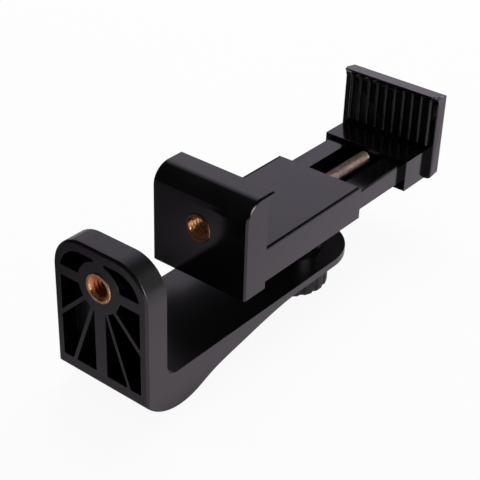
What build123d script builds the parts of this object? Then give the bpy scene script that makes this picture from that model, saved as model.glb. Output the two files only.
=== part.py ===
from build123d import *
import math
import os

# Tripod phone mount: an L-shaped bracket with a swivelling, spring-loaded phone clamp.
# Millimetres. X runs along the slide towards the moving jaw, Z is up.
# The origin is the mouth of the tripod thread in the bracket's upright.

# Tripod thread and its brass inserts
thread_radius = 3.175
thread_clearance = 0.05
insert_radius = 4.2
insert_seat_clearance = 0.04
insert_proud = 0.3
screw_point_chamfer = 0.5
foot_insert_length = 6.2
jaw_insert_length = 7.5
swivel_insert_length = 6.4

# Bracket upright
foot_width = 32.0
foot_thickness = 7.3
foot_below_thread = 29.4
foot_above_thread = 10.6
foot_corner_radius = 10.0
foot_edge_bevel = 0.6

# Ribbed pockets in the upright's front
pocket_depth = 5.0
pocket_side_wall = 2.4
pocket_top_wall = 2.9
pocket_bottom_wall = 3.1
boss_radius = 7.2
centre_rib = 3.8
top_rib = 3.4
level_rib = 3.1
spoke_rib = 1.2
diagonal_rib_angle = 44.0
steep_rib_angle = 70.0

# Bracket arm
arm_rise = 5.6
arm_tip_thickness = 2.3
inner_fillet = 3.5
heel_length = 13.0
heel_drop = 6.0
taper_start = 24.5
taper_start_drop = 3.0
taper_middle = 36.6
taper_middle_drop = 0.3
knob_seat_radius = 15.5

# Swivel axis, its boss and washers
swivel_x = 80.4
swivel_boss_radius = 9.5
screw_hole_clearance = 0.08
face_clearance = 0.05
friction_washer_radius = 8.5
friction_washer_thickness = 0.8
knob_washer_radius = 7.5
knob_washer_thickness = 0.6

# Knob and its screw
knob_radius = 11.4
knob_height = 10.2
knob_flutes = 16
flute_radius = 1.5
flute_depth = 0.5
flute_sides = 8
knob_edge = 1.3
screw_head_radius = 5.6
screw_head_height = 4.0
screw_head_recess = 0.6
screw_into_insert = 5.6

# Fixed jaw block
block_front_x = 37.35
block_depth = 8.75
block_overhang = 1.4
block_bottom_z = -16.2
block_top_z = 13.0
block_top_radius = 6.0
block_edge_bevel = 0.5
jaw_insert_z = 0.3
block_lip_reach = 2.6
block_lip_thickness = 0.7
block_lip_hollow = 3.5

# Housing behind the block
housing_width = 30.0
housing_bottom_z = -16.0
housing_top_z = -5.5
housing_end_x = 92.9
housing_floor = 1.0
housing_side_wall = 1.2
housing_edge_bevel = 0.4
cavity_start_x = 49.2
cover_thickness = 1.9
cover_edge_gap = 0.35
cover_edge_bevel = 0.3
slide_clearance = 0.3
tongue_headroom = 0.7

# Sliding jaw: tongue, saddle and plate
tongue_edge_bevel = 0.4
tongue_end_gap = 0.8
channel_side_wall = 6.7
channel_floor = 2.4
saddle_overhang = 0.15
saddle_length = 11.9
saddle_top_z = -6.9
saddle_bottom_z = -17.0
saddle_edge_radius = 1.0
spring_pocket_depth = 5.6
plate_thickness = 5.8
plate_width = 34.2
plate_top_z = 11.9
plate_top_fall = 1.7
plate_bottom_z = -17.1
plate_corner_radius = 1.8
plate_front_radius = 2.0
plate_lip_reach = 2.3
plate_lip_thickness = 0.5
plate_lip_hollow = 2.8
lip_corner_radius = 2.2

# Travel of the sliding jaw
travel_closed = 24.4
travel_open = 6.0

# Ribbed rubber pads
pad_side_margin = 1.6
pad_top_z = 8.5
fixed_pad_bottom_z = -5.0
moving_pad_bottom_z = -6.4
pad_thickness = 1.0
pad_corner_cut = 1.2
pad_ribs = 10
pad_side_gap = 1.1
pad_rib_width = 1.2
pad_rib_height = 0.7
pad_rib_margin = 0.3

# Tension spring and its pins
spring_radius = 1.75
spring_wire_radius = 0.28
spring_pitch = 2.0
spring_above_channel = 1.95
spring_turns = 31
steps_per_turn = 8
hook_steps = 8
wire_sides = 3
hook_clearance = 0.06
pin_radius = 0.8
body_pin_x = 51.9
jaw_pin_inset = 3.0
jaw_pin_bite = 2.0
lug_thickness = 1.6
lug_gap = 5.0
lug_height = 3.2
lug_reach = 1.5

# Stop pin that limits the travel
stop_pin_inset = 5.5
stop_pin_radius = 1.0
stop_pin_length = 5.0
stop_groove_depth = 1.2
stop_pin_tip_gap = 0.3

# Sizes and places worked out from those above
foot_bottom_z = -foot_below_thread
foot_top_z = foot_above_thread
arm_top_z = foot_bottom_z + arm_rise
arm_tip_z = arm_top_z - arm_tip_thickness
heel_z = foot_bottom_z - heel_drop
bore_radius = thread_radius + thread_clearance
insert_seat_radius = insert_radius + insert_seat_clearance
block_back_x = block_front_x + block_depth
block_width = housing_width + 2 * block_overhang
boss_bottom_z = arm_top_z + face_clearance + friction_washer_thickness
knob_top_z = arm_tip_z - face_clearance - knob_washer_thickness
knob_bottom_z = knob_top_z - knob_height
cover_bottom_z = housing_top_z - cover_thickness
tongue_width = housing_width - 2 * (housing_side_wall + slide_clearance)
tongue_top_z = cover_bottom_z - tongue_headroom
tongue_bottom_z = housing_bottom_z + housing_floor + slide_clearance
tongue_inner_x = cavity_start_x + tongue_end_gap + travel_closed
channel_width = tongue_width - 2 * channel_side_wall
channel_floor_z = tongue_bottom_z + channel_floor
spring_axis_z = channel_floor_z + spring_above_channel
saddle_front_x = housing_end_x + travel_closed
saddle_width = housing_width + 2 * saddle_overhang
plate_front_x = saddle_front_x + saddle_length
plate_back_x = plate_front_x + plate_thickness
pad_width = plate_width - 2 * pad_side_margin
pad_rib_pitch = (pad_width - 2 * pad_side_gap) / (pad_ribs - 1)
stop_pin_x = housing_end_x - stop_pin_inset
jaw_pin_x = saddle_front_x + jaw_pin_inset
lug_tip_x = body_pin_x + pin_radius + lug_reach


def box_between(x0, x1, y0, y1, z0, z1):
    """Box from its lowest to its highest corner."""
    middle = Location(((x0 + x1) / 2, (y0 + y1) / 2, (z0 + z1) / 2))
    return middle * Box(x1 - x0, y1 - y0, z1 - z0)


def wide_box(x0, x1, width, z0, z1):
    """Box centred across the object."""
    return box_between(x0, x1, -width / 2, width / 2, z0, z1)


def upright_cylinder(x, z0, z1, radius):
    """Cylinder about a vertical axis in the mid-plane."""
    return Location((x, 0, (z0 + z1) / 2)) * Cylinder(radius, z1 - z0)


def cross_cylinder(x, z, radius, length):
    """Cylinder along Y, centred in the mid-plane."""
    return Location((x, 0, z), (90, 0, 0)) * Cylinder(radius, length)


def level_cylinder(x0, x1, z, radius):
    """Cylinder along X in the mid-plane."""
    return Location(((x0 + x1) / 2, 0, z), (0, 90, 0)) * Cylinder(radius, x1 - x0)


def side_profile(edges, width):
    """Closed outline in the XZ plane, carried across the object."""
    face = make_face(edges)
    return extrude(face, amount=width / 2, both=True)


def point(x, z):
    """Point of a side outline."""
    return Vector(x, 0, z)


def edges_along(part, direction):
    """Straight edges of a part that run along a direction."""
    straight = part.edges().filter_by(GeomType.LINE)
    return straight.filter_by(lambda edge: abs(edge.tangent_at(0).dot(direction)) > 0.999)


def bracket_outline():
    """Side outline of the L: upright, inner fillet, thin tip and rounded heel."""
    heel_radius = (heel_length ** 2 + heel_drop ** 2) / (2 * heel_drop)
    start_angle = math.asin(heel_length / heel_radius)
    middle_angle = start_angle / 2
    centre_z = heel_z + heel_radius
    heel_middle = point(heel_length - heel_radius * math.sin(middle_angle),
                        centre_z - heel_radius * math.cos(middle_angle))
    corner = point(0, foot_bottom_z)
    heel_end = point(heel_length, heel_z)
    tip_start_x = swivel_x - knob_seat_radius
    tip_x = swivel_x + foot_width / 2
    taper = [heel_end,
             point(taper_start, foot_bottom_z - taper_start_drop),
             point(taper_middle, foot_bottom_z - taper_middle_drop),
             point(tip_start_x, arm_tip_z)]
    fillet_centre = point(foot_thickness + inner_fillet, arm_top_z + inner_fillet)
    bow = inner_fillet * math.sqrt(0.5)
    fillet_middle = fillet_centre + Vector(-bow, 0, -bow)
    fillet_low = point(fillet_centre.X, arm_top_z)
    fillet_high = point(foot_thickness, fillet_centre.Z)
    return [
        ThreePointArc(corner, heel_middle, heel_end),
        Spline(*taper, tangents=[(1, 0, 0), (1, 0, 0)]),
        Line(taper[-1], point(tip_x, arm_tip_z)),
        Line(point(tip_x, arm_tip_z), point(tip_x, arm_top_z)),
        Line(point(tip_x, arm_top_z), fillet_low),
        ThreePointArc(fillet_low, fillet_middle, fillet_high),
        Line(fillet_high, point(foot_thickness, foot_top_z)),
        Line(point(foot_thickness, foot_top_z), point(0, foot_top_z)),
        Line(point(0, foot_top_z), corner),
    ]


def pocket_outline():
    """Area inside the upright's rim, seen from the front."""
    half = foot_width / 2 - pocket_side_wall
    low = foot_bottom_z + pocket_bottom_wall
    high = foot_top_z - pocket_top_wall
    area = Location((0, (low + high) / 2)) * Rectangle(2 * half, high - low)
    top_corners = area.vertices().sort_by(Axis.Y)[-2:]
    return fillet(top_corners, foot_corner_radius - pocket_side_wall)


def rib_strip(angle_below, width):
    """Strip from the thread's axis outwards, at an angle below the level."""
    reach = foot_width + foot_below_thread
    return Rot(0, 0, angle_below) * Pos(reach / 2, 0) * Rectangle(reach, width)


def pocket_sketch():
    """Pockets left between the rim, the boss and the ribs that fan out from it."""
    area = pocket_outline() - Circle(boss_radius)
    ribs = [(-90, centre_rib), (90, top_rib)]
    for side, turn in ((0, -1), (180, 1)):
        ribs.append((side, level_rib))
        ribs.append((side + turn * diagonal_rib_angle, spoke_rib))
        ribs.append((side + turn * steep_rib_angle, spoke_rib))
    for angle, width in ribs:
        area -= rib_strip(angle, width)
    return area


def make_bracket():
    """L-shaped moulding with a cored upright and a tapering arm."""
    body = side_profile(bracket_outline(), foot_width)
    plan = Pos(swivel_x / 2, 0) * Rectangle(swivel_x, foot_width)
    plan += Pos(swivel_x, 0) * Circle(foot_width / 2)
    tall = foot_above_thread + foot_below_thread + heel_drop
    body &= Pos(0, 0, heel_z - 1) * extrude(plan, amount=tall + 2)
    corners = edges_along(body, Vector(1, 0, 0)).group_by(Axis.Z)[-1]
    body = fillet(corners, foot_corner_radius)
    rim = body.edges().filter_by_position(Axis.X, -0.01, 0.01)
    rim = rim.filter_by(lambda edge: edge.center().Z > foot_bottom_z + 0.1)
    body = chamfer(rim, foot_edge_bevel)
    pockets = Plane.YZ * pocket_sketch()
    body -= extrude(pockets, amount=pocket_depth)
    body -= level_cylinder(-1, foot_insert_length, 0, insert_seat_radius)
    hole = thread_radius + screw_hole_clearance
    body -= upright_cylinder(swivel_x, arm_tip_z - 1, arm_top_z + 1, hole)
    return body


def make_insert(length):
    """Brass bush whose thread starts at the origin and runs along +X behind a bevelled mouth."""
    bush = level_cylinder(-insert_proud, length, 0, insert_radius)
    bush -= level_cylinder(-insert_proud - 1, length + 1, 0, bore_radius)
    mouth = bush.faces().sort_by(Axis.X)[0].edges().sort_by(SortBy.LENGTH)[0]
    return chamfer(mouth, insert_proud)


def lip_outline(face_x, top_z, reach, thickness, hollow):
    """Lip over a jaw's gripping face: blunt tip and hollow underside, with its lower end."""
    tip_x = face_x + reach
    low = point(tip_x, top_z - thickness)
    root = point(face_x, top_z - thickness - hollow)
    middle_x = face_x + reach * (1 - math.sqrt(0.5))
    middle = point(middle_x, root.Z + hollow * math.sqrt(0.5))
    return [Line(point(tip_x, top_z), low), ThreePointArc(low, middle, root)], root


def block_outline():
    """Side outline of the fixed jaw block, round at the front of its top."""
    front = block_front_x
    high = block_top_z
    start = point(front, high - block_top_radius)
    end = point(front + block_top_radius, high)
    bow = block_top_radius * (1 - math.sqrt(0.5))
    middle = point(front + bow, high - bow)
    lip, root = lip_outline(block_back_x, high, block_lip_reach, block_lip_thickness,
                            block_lip_hollow)
    low_front = point(front, block_bottom_z)
    low_back = point(block_back_x, block_bottom_z)
    return [
        Line(low_front, start),
        ThreePointArc(start, middle, end),
        Line(end, point(block_back_x + block_lip_reach, high)),
        *lip,
        Line(root, low_back),
        Line(low_back, low_front),
    ]


def pad_plane(face_x, bottom_z):
    """Plane of a jaw's gripping face, centred on its pad."""
    return Plane((face_x, 0, (pad_top_z + bottom_z) / 2), x_dir=(0, 1, 0), z_dir=(1, 0, 0))


def pad_outline(bottom_z, gap=0.0):
    """Outline of a pad with its corners cut off, wider by a gap on each side."""
    outline = Rectangle(pad_width + 2 * gap, pad_top_z - bottom_z + 2 * gap)
    return chamfer(outline.vertices(), pad_corner_cut)


def pad_seat(face_x, bottom_z, inward):
    """Shallow recess that a pad sits in; inward points into the jaw."""
    outline = pad_outline(bottom_z, insert_seat_clearance)
    return extrude(pad_plane(face_x, bottom_z) * outline, amount=inward * pad_thickness)


def make_pad(face_x, bottom_z, inward):
    """Rubber pad with upright ribs; inward points into the jaw that carries it."""
    plane = pad_plane(face_x, bottom_z)
    pad = extrude(plane * pad_outline(bottom_z), amount=inward * pad_thickness)
    rib_length = pad_top_z - bottom_z - 2 * pad_rib_margin
    rib_outline = Rectangle(pad_rib_width, rib_length)
    rib_outline = chamfer(rib_outline.vertices(), pad_rib_width / 3)
    for index in range(pad_ribs):
        across = (index - (pad_ribs - 1) / 2) * pad_rib_pitch
        pad += extrude(plane * (Pos(across, 0) * rib_outline), amount=-inward * pad_rib_height)
    return pad


def make_clamp_body():
    """Fixed jaw block, hollow housing and swivel boss in one moulding."""
    block = side_profile(block_outline(), block_width)
    front = block.edges().filter_by(lambda edge: abs(abs(edge.center().Y) - block_width / 2) < 0.01)
    front = front.filter_by(lambda edge: edge.center().X < block_front_x + block_top_radius)
    front = front.filter_by(lambda edge: edge.center().Z > block_bottom_z + 0.1)
    block = chamfer(front, block_edge_bevel)
    housing = wide_box(block_back_x - 1, housing_end_x, housing_width,
                       housing_bottom_z, housing_top_z)
    low_edges = edges_along(housing, Vector(1, 0, 0)).group_by(Axis.Z)[0]
    end_edge = housing.faces().sort_by(Axis.X)[-1].edges().sort_by(Axis.Z)[0]
    housing = chamfer([*low_edges, end_edge], housing_edge_bevel)
    inside = housing_width - 2 * housing_side_wall
    housing -= wide_box(cavity_start_x, housing_end_x + 1, inside,
                        housing_bottom_z + housing_floor, housing_top_z + 1)
    seat = housing_width - 2 * cover_edge_gap
    seat_cut = wide_box(block_back_x, housing_end_x + 1, seat, cover_bottom_z, housing_top_z + 1)
    housing -= seat_cut
    body = block + housing
    body += upright_cylinder(swivel_x, boss_bottom_z, housing_bottom_z + 0.2, swivel_boss_radius)
    lug_y = lug_gap / 2 + lug_thickness / 2
    for side in (-1, 1):
        low = spring_axis_z - lug_height / 2
        lug = box_between(cavity_start_x - 1, lug_tip_x,
                          side * lug_y - lug_thickness / 2, side * lug_y + lug_thickness / 2,
                          low, low + lug_height)
        body += lug
    body -= cross_cylinder(body_pin_x, spring_axis_z, pin_radius + insert_seat_clearance,
                           lug_gap + 2 * lug_thickness + 1)
    body -= level_cylinder(block_front_x - 1, block_front_x + jaw_insert_length,
                           jaw_insert_z, insert_seat_radius)
    swivel_seat_top = boss_bottom_z + insert_proud + swivel_insert_length
    body -= upright_cylinder(swivel_x, boss_bottom_z - 1, swivel_seat_top, insert_seat_radius)
    stop_low = stop_pin_top() - stop_pin_length
    body -= upright_cylinder(stop_pin_x, stop_low, 0, stop_pin_radius + insert_seat_clearance)
    body -= pad_seat(block_back_x, fixed_pad_bottom_z, -1)
    return body


def stop_pin_top():
    """Top of the stop pin, just short of the groove's roof."""
    return tongue_bottom_z + stop_groove_depth - stop_pin_tip_gap


def make_top_cover():
    """Flat plate that drops between the housing's side walls."""
    width = housing_width - 2 * cover_edge_gap - 2 * insert_seat_clearance
    cover = wide_box(block_back_x + insert_seat_clearance, housing_end_x, width,
                     cover_bottom_z, housing_top_z)
    long_edges = edges_along(cover, Vector(1, 0, 0))
    return chamfer(long_edges.group_by(Axis.Z)[-1], cover_edge_bevel)


def make_sliding_jaw():
    """Tongue with a spring channel, saddle block and upright plate in one moulding."""
    tongue = wide_box(tongue_inner_x, saddle_front_x + 1, tongue_width, tongue_bottom_z, tongue_top_z)
    tongue = chamfer(edges_along(tongue, Vector(1, 0, 0)), tongue_edge_bevel)
    saddle = wide_box(saddle_front_x, plate_front_x + 1, saddle_width,
                      saddle_bottom_z, saddle_top_z)
    saddle = fillet(saddle.faces().sort_by(Axis.X)[0].edges(), saddle_edge_radius)
    jaw = tongue + saddle + make_jaw_plate()
    channel_end = saddle_front_x + spring_pocket_depth
    jaw -= wide_box(tongue_inner_x - 1, saddle_front_x, channel_width,
                    channel_floor_z, saddle_top_z)
    jaw -= wide_box(saddle_front_x - 1, channel_end, channel_width, channel_floor_z, tongue_top_z)
    pin_length = channel_width + 2 * jaw_pin_bite
    jaw -= cross_cylinder(jaw_pin_x, spring_axis_z, pin_radius + insert_seat_clearance, pin_length)
    groove_start = stop_pin_x - travel_open - stop_pin_radius - slide_clearance
    groove_end = stop_pin_x + travel_closed + stop_pin_radius + slide_clearance
    groove_width = 2 * (stop_pin_radius + slide_clearance)
    jaw -= wide_box(groove_start, groove_end, groove_width,
                    tongue_bottom_z - 1, tongue_bottom_z + stop_groove_depth)
    return jaw


def rounded_block(x0, x1, width, z0, z1, front_radius, back_radius):
    """Block with rounded upright edges at its front and back and rounded long edges."""
    plan = Pos((x0 + x1) / 2, 0) * Rectangle(x1 - x0, width)
    plan = fillet(plan.vertices().sort_by(Axis.X)[:2], front_radius)
    plan = fillet(plan.vertices().sort_by(Axis.X)[-2:], back_radius)
    block = Pos(0, 0, z0) * extrude(plan, amount=z1 - z0)
    face = Rectangle(width, z1 - z0)
    face = fillet(face.vertices(), back_radius)
    middle = Vector(x0, 0, (z0 + z1) / 2)
    return block & extrude(Plane(middle, x_dir=(0, 1, 0), z_dir=(1, 0, 0)) * face, amount=x1 - x0)


def make_jaw_plate():
    """Upright jaw plate with a lip over its ribbed face."""
    plate = rounded_block(plate_front_x, plate_back_x, plate_width, plate_bottom_z, plate_top_z,
                          plate_front_radius, plate_corner_radius)
    lip, root = lip_outline(plate_front_x, plate_top_z, -plate_lip_reach, plate_lip_thickness,
                            plate_lip_hollow)
    middle_x = plate_front_x + plate_thickness / 2
    outline = [
        Line(point(middle_x, root.Z), point(middle_x, plate_top_z)),
        Line(point(middle_x, plate_top_z), point(plate_front_x - plate_lip_reach, plate_top_z)),
        *lip,
        Line(root, point(middle_x, root.Z)),
    ]
    overhang = side_profile(outline, plate_width)
    overhang &= rounded_block(plate_front_x - plate_lip_reach, plate_back_x, plate_width,
                              plate_bottom_z, plate_top_z, lip_corner_radius, plate_corner_radius)
    tip_x = plate_front_x - plate_lip_reach
    back_top_z = plate_top_z - plate_top_fall
    side = Plane.XZ * Polygon((tip_x, plate_bottom_z), (plate_back_x, plate_bottom_z),
                              (plate_back_x, back_top_z), (tip_x, plate_top_z), align=None)
    side = fillet(side.vertices().sort_by(Axis.X)[-2:], plate_corner_radius)
    plate = (plate + overhang) & extrude(side, amount=plate_width, both=True)
    return plate - pad_seat(plate_front_x, moving_pad_bottom_z, 1)


def make_knob():
    """Fluted thumb knob with a six-sided pocket for the screw's head."""
    outline = Circle(knob_radius)
    groove_centre = knob_radius - flute_depth + flute_radius
    for index in range(knob_flutes):
        angle = index * 360 / knob_flutes
        groove = Pos(groove_centre, 0) * RegularPolygon(flute_radius, flute_sides)
        outline -= Rot(0, 0, angle) * groove
    knob = Pos(swivel_x, 0, knob_bottom_z) * extrude(outline, amount=knob_height)
    crown = upright_cylinder(swivel_x, knob_bottom_z, knob_top_z, knob_radius)
    crown = chamfer(crown.edges().filter_by(GeomType.CIRCLE), knob_edge)
    knob &= crown
    knob -= upright_cylinder(swivel_x, knob_bottom_z, knob_top_z + 1,
                             thread_radius + insert_seat_clearance)
    head_top = knob_bottom_z + screw_head_recess + screw_head_height
    head_pocket = RegularPolygon(screw_head_radius + insert_seat_clearance, 6)
    knob -= Pos(swivel_x, 0, knob_bottom_z - 1) * extrude(head_pocket, amount=head_top - knob_bottom_z + 1)
    return knob


def make_knob_screw():
    """Hexagon-headed tripod screw that rises from the knob into the swivel insert."""
    head_low = knob_bottom_z + screw_head_recess
    head = Pos(swivel_x, 0, head_low) * extrude(RegularPolygon(screw_head_radius, 6),
                                                amount=screw_head_height)
    top = boss_bottom_z + screw_into_insert
    shank = upright_cylinder(swivel_x, head_low + screw_head_height / 2, top, thread_radius)
    point_edge = shank.edges().sort_by(Axis.Z)[-1]
    shank = chamfer(point_edge, screw_point_chamfer)
    return head + shank


def make_washer(z0, thickness, outer):
    """Flat ring round the knob's screw."""
    ring = upright_cylinder(swivel_x, z0, z0 + thickness, outer)
    return ring - upright_cylinder(swivel_x, z0 - 1, z0 + thickness + 1,
                                   thread_radius + screw_hole_clearance)


def hook_path(pin_x, side):
    """Half loop of wire round a pin: centreline points with their outward directions."""
    loop_radius = pin_radius + spring_wire_radius + hook_clearance
    path = []
    for step in range(hook_steps + 1):
        turn = math.pi * step / hook_steps
        outward = Vector(side * math.sin(turn), 0, math.cos(turn))
        path.append((Vector(pin_x, 0, spring_axis_z) + outward * loop_radius, outward))
    return path


def coil_path():
    """Drawn-out coil: centreline points with their outward directions."""
    start_x = (body_pin_x + jaw_pin_x - spring_turns * spring_pitch) / 2
    coil_radius = spring_radius - spring_wire_radius
    path = []
    for step in range(spring_turns * steps_per_turn + 1):
        turn = 2 * math.pi * step / steps_per_turn
        outward = Vector(0, math.sin(turn), math.cos(turn))
        along = start_x + spring_pitch * step / steps_per_turn
        path.append((Vector(along, 0, spring_axis_z) + outward * coil_radius, outward))
    return path


def wire_sections(path):
    """Corners of the wire's cross-section at each point of its path."""
    middles = [middle for middle, outward in path]
    sections = []
    for index, (middle, outward) in enumerate(path):
        before = middles[max(index - 1, 0)]
        after = middles[min(index + 1, len(middles) - 1)]
        side = (after - before).cross(outward).normalized()
        corners = []
        for corner in range(wire_sides):
            turn = 2 * math.pi * corner / wire_sides
            reach = outward * math.cos(turn) + side * math.sin(turn)
            corners.append(middle + reach * spring_wire_radius)
        sections.append(corners)
    return sections


def make_spring():
    """Coiled tension spring, drawn out, with a hook at each end."""
    path = hook_path(body_pin_x, -1)[::-1] + coil_path() + hook_path(jaw_pin_x, 1)
    sections = wire_sections(path)
    outlines = [sections[0], sections[-1]]
    for section, following in zip(sections, sections[1:]):
        for corner in range(wire_sides):
            beside = (corner + 1) % wire_sides
            outlines.append([section[corner], section[beside], following[corner]])
            outlines.append([section[beside], following[beside], following[corner]])
    faces = [Face(Wire.make_polygon(outline)) for outline in outlines]
    return Solid(Shell(faces))


def write(name, solid):
    """Write one sub-part in its own file."""
    solid.label = name
    export_step(solid, f"parts/{name}.step")


def main():
    """Build every sub-part and write it."""
    os.makedirs("parts", exist_ok=True)
    write("bracket", make_bracket())
    write("bracket_insert", make_insert(foot_insert_length))
    write("clamp_body", make_clamp_body())
    write("jaw_insert", Pos(block_front_x, 0, jaw_insert_z) * make_insert(jaw_insert_length))
    swivel_insert = Location((swivel_x, 0, boss_bottom_z + insert_proud), (0, -90, 0)) * make_insert(
        swivel_insert_length)
    write("swivel_insert", swivel_insert)
    write("top_cover", make_top_cover())
    write("sliding_jaw", make_sliding_jaw())
    write("fixed_pad", make_pad(block_back_x, fixed_pad_bottom_z, -1))
    write("moving_pad", make_pad(plate_front_x, moving_pad_bottom_z, 1))
    write("tension_spring", make_spring())
    body_pin = cross_cylinder(body_pin_x, spring_axis_z, pin_radius, lug_gap + 2 * lug_thickness)
    write("body_spring_pin", body_pin)
    jaw_pin = cross_cylinder(jaw_pin_x, spring_axis_z, pin_radius, channel_width + 2 * jaw_pin_bite)
    write("jaw_spring_pin", jaw_pin)
    stop_pin = upright_cylinder(stop_pin_x, stop_pin_top() - stop_pin_length, stop_pin_top(),
                                stop_pin_radius)
    write("travel_stop_pin", stop_pin)
    washer_low = boss_bottom_z - friction_washer_thickness
    write("friction_washer", make_washer(washer_low, friction_washer_thickness, friction_washer_radius))
    write("knob_washer", make_washer(knob_top_z, knob_washer_thickness, knob_washer_radius))
    write("knob", make_knob())
    write("knob_screw", make_knob_screw())


main()
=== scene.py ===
import logging
import math
from dataclasses import dataclass
from enum import Enum
from typing import Callable

import bmesh
import bpy
from mathutils import Matrix, Vector


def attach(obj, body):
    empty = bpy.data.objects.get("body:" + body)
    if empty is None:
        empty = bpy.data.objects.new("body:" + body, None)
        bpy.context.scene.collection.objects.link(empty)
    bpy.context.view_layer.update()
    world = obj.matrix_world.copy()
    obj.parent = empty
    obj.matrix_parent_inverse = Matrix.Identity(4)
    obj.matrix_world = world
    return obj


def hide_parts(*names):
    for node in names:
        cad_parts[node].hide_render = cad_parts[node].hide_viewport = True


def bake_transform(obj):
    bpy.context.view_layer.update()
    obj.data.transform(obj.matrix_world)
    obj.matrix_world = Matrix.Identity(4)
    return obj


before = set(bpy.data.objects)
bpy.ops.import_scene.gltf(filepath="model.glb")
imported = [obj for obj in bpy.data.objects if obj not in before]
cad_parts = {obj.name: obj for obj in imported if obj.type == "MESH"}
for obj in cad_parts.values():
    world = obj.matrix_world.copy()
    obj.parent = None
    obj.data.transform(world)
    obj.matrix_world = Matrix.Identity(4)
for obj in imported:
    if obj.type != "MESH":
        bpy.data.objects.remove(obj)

LOG = logging.getLogger("phone_mount")
MILLIMETRE = 0.001
MATCH_MM = 0.03  # how near a CAD point has to be to a line or radius to count as on it
HEX_SIDES = 6
HEX_ANGLE = math.tau / HEX_SIDES
KNOB_AXIS_X_MM = 80.4
JAW_THREAD_MM = (37.35, 0.0, 0.3)
SPRING_AXIS_Z_MM = -10.35


class Slot(Enum):
    """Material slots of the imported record."""

    MOULDING = "black_moulding"
    KNOB = "black_knob"
    RUBBER = "black_rubber"
    BRASS = "brass"
    SPRING = "spring_wire"
    STEEL = "steel"


class Body(Enum):
    """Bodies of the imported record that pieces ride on."""

    BRACKET = "bracket"
    CLAMP = "clamp"
    JAW = "jaw"
    KNOB = "knob"


def linear(hex_colour: str) -> tuple[float, float, float, float]:
    """Turn an sRGB hex colour into the linear colour that shaders take.

    Args:
        hex_colour: Six hex digits, with or without a leading hash.

    Returns:
        Linear red, green and blue with an alpha of one.
    """
    digits = hex_colour.lstrip("#")
    channels = []
    for start in (0, 2, 4):
        value = int(digits[start:start + 2], 16) / 255
        channels.append(value / 12.92 if value <= 0.04045 else ((value + 0.055) / 1.055) ** 2.4)
    return (channels[0], channels[1], channels[2], 1.0)


def add_node(tree: bpy.types.NodeTree, kind: str, settings: dict | None = None,
             inputs: dict | None = None) -> bpy.types.Node:
    """Add a node with its settings, values and incoming links.

    Args:
        tree: Node tree that gets the node.
        kind: Blender's name of the node type.
        settings: Attributes of the node.
        inputs: Socket name or number to a value, or to an output socket that feeds it.

    Returns:
        The new node.
    """
    node = tree.nodes.new(kind)
    for name, value in (settings or {}).items():
        setattr(node, name, value)
    for name, value in (inputs or {}).items():
        socket = node.inputs[name]
        if isinstance(value, bpy.types.NodeSocket):
            tree.links.new(value, socket)
        else:
            socket.default_value = value
    return node


@dataclass(frozen=True)
class Finish:
    """A surface finish that is made into one material."""

    name: str

    def shader(self, tree: bpy.types.NodeTree, place: bpy.types.NodeSocket) -> bpy.types.Node:
        """Add the finish's own nodes and return its shader node."""
        raise NotImplementedError

    def material(self) -> bpy.types.Material:
        """Make the finish's material, or find it where it was made before.

        Returns:
            The material.
        """
        known = bpy.data.materials.get(self.name)
        if known:
            return known
        made = bpy.data.materials.new(self.name)
        made.use_nodes = True
        tree = made.node_tree
        tree.nodes.clear()
        place = add_node(tree, "ShaderNodeTexCoord").outputs["Object"]
        shader = self.shader(tree, place)
        add_node(tree, "ShaderNodeOutputMaterial", inputs={"Surface": shader.outputs["BSDF"]})
        return made


@dataclass(frozen=True)
class MouldedPlastic(Finish):
    """ABS, injection-moulded in a polished tool.

    The eye gets a deep black with a mirror-like but slightly wavy gloss, broken by a very fine grain.
    """

    dark: str = "060607"
    light: str = "0B0B0C"
    roughness: float = 0.12
    roughness_spread: float = 0.03
    ior: float = 1.53
    wave_mm: float = 9.0
    wave_depth_mm: float = 0.006
    # Real tool polish is finer; the grain is this coarse so that it shows in the render.
    grain_mm: float = 0.35
    grain_depth_mm: float = 0.0015

    def shader(self, tree: bpy.types.NodeTree, place: bpy.types.NodeSocket) -> bpy.types.Node:
        """Add the plastic's nodes.

        Args:
            tree: Node tree of the material.
            place: Object coordinates in metres.

        Returns:
            The principled shader.
        """
        flow = add_node(tree, "ShaderNodeTexNoise", inputs={
            "Vector": place, "Scale": 1 / (self.wave_mm * MILLIMETRE), "Detail": 2.0, "Roughness": 0.4})
        grain = add_node(tree, "ShaderNodeTexNoise", inputs={
            "Vector": place, "Scale": 1 / (self.grain_mm * MILLIMETRE), "Detail": 3.0, "Roughness": 0.6})
        share = add_node(tree, "ShaderNodeMapRange", inputs={
            "Value": flow.outputs["Fac"], "From Min": 0.35, "From Max": 0.65})
        colour = add_node(tree, "ShaderNodeMix", {"data_type": "RGBA"}, {
            0: share.outputs["Result"], 6: linear(self.dark), 7: linear(self.light)})
        gloss = add_node(tree, "ShaderNodeMapRange", inputs={
            "Value": grain.outputs["Fac"], "From Min": 0.3, "From Max": 0.7,
            "To Min": self.roughness - self.roughness_spread,
            "To Max": self.roughness + self.roughness_spread})
        wave = add_node(tree, "ShaderNodeBump", inputs={
            "Height": flow.outputs["Fac"], "Strength": 1.0, "Distance": self.wave_depth_mm * MILLIMETRE})
        fine = add_node(tree, "ShaderNodeBump", inputs={
            "Height": grain.outputs["Fac"], "Strength": 1.0, "Distance": self.grain_depth_mm * MILLIMETRE,
            "Normal": wave.outputs["Normal"]})
        return add_node(tree, "ShaderNodeBsdfPrincipled", inputs={
            "Base Color": colour.outputs[2], "Roughness": gloss.outputs["Result"], "IOR": self.ior,
            "Normal": fine.outputs["Normal"]})


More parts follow.
